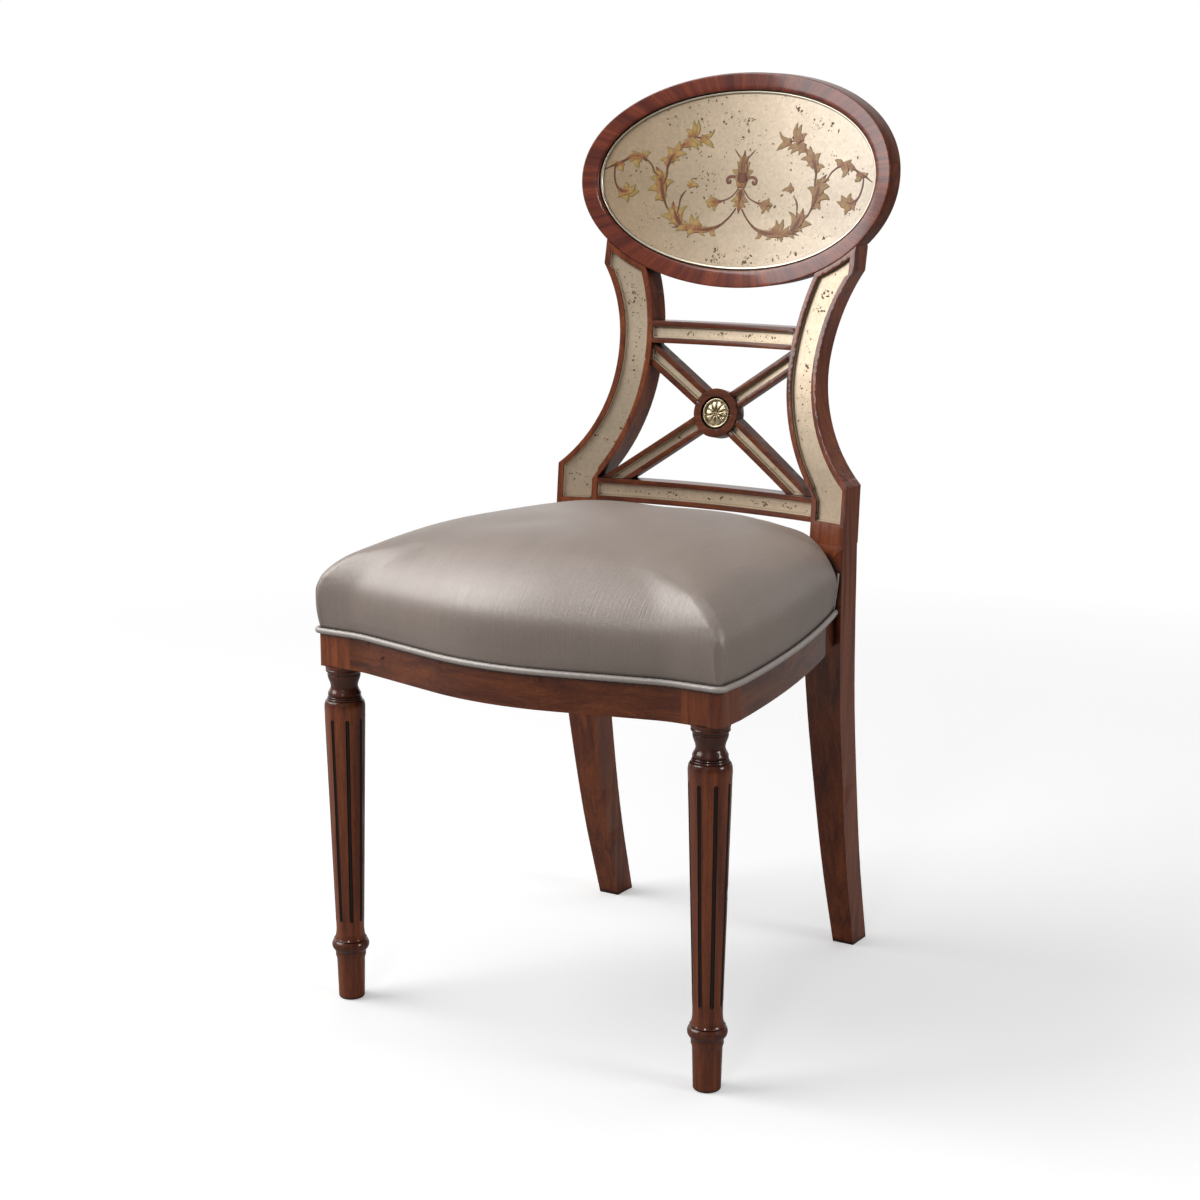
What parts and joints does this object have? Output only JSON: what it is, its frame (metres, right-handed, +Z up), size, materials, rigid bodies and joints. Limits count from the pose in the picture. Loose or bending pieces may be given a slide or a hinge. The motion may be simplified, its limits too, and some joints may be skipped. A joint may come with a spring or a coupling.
{
  "type": "side chair",
  "caption": "Side chair with an oval back panel over a crossed lattice splat, an upholstered bow-front seat, fluted turned front legs and splayed rear legs.",
  "frame": {"origin": "on the floor, at the middle of the chair's width and of its whole depth", "axes": "+Z up. The chair faces -Y. +X is to the right of someone who looks at its front, and the nodes named right are on that side."},
  "size_m": [0.494, 0.554, 0.98],
  "materials": {
    "mahogany": "polished, red-brown with darker streaks, a little worn at the feet",
    "veneer": "polished cross-banded mahogany veneer",
    "secondary_wood": "bare, unpolished",
    "gilt": "cream-gold leaf on wood, flecked with dark brown",
    "painted_panel": "cream-gold ground painted with leaf scrolls, satin varnish",
    "metal_fillet": "dull, slightly tarnished",
    "brass": "cast and polished, dark in the hollows",
    "steel": "plain",
    "jute": "coarse weave",
    "stuffing": "loose stuffing under wadding",
    "cover_fabric": "taupe satin weave with a soft sheen",
    "black_cloth": "thin plain weave"
  },
  "bodies": {
    "root": {"front_leg_left": "mahogany", "front_leg_right": "mahogany", "rear_leg_left": "mahogany", "rear_leg_right": "mahogany", "front_rail": "mahogany", "side_rail_left": "mahogany", "side_rail_right": "mahogany", "rear_rail": "mahogany", "corner_block_front_left": "secondary_wood", "corner_block_front_right": "secondary_wood", "corner_block_rear_left": "secondary_wood", "corner_block_rear_right": "secondary_wood", "rail_dowels": "secondary_wood", "block_screws": "steel", "oval_ring": "veneer", "oval_panel": "painted_panel", "oval_fillet": "metal_fillet", "oval_back_board": "veneer", "oval_dowels": "secondary_wood", "stile_channel_left": "gilt", "stile_channel_right": "gilt", "upper_cross_rail": "mahogany", "lower_cross_rail": "mahogany", "upper_rail_channel": "gilt", "lower_rail_channel": "gilt", "cross_rail_dowels": "secondary_wood", "lattice_arm_upper_left": "mahogany", "lattice_arm_upper_right": "mahogany", "lattice_arm_lower_left": "mahogany", "lattice_arm_lower_right": "mahogany", "arm_channel_upper_left": "gilt", "arm_channel_upper_right": "gilt", "arm_channel_lower_left": "gilt", "arm_channel_lower_right": "gilt", "lattice_dowels": "secondary_wood", "roundel": "mahogany", "rosette": "brass", "rosette_stud": "brass", "long_webbing": "jute", "cross_webbing": "jute", "hessian": "jute", "seat_foam": "stuffing", "seat_cover": "cover_fabric", "front_piping": "cover_fabric", "rear_piping": "cover_fabric", "dust_cover": "black_cloth"}
  },
  "joints": []
}
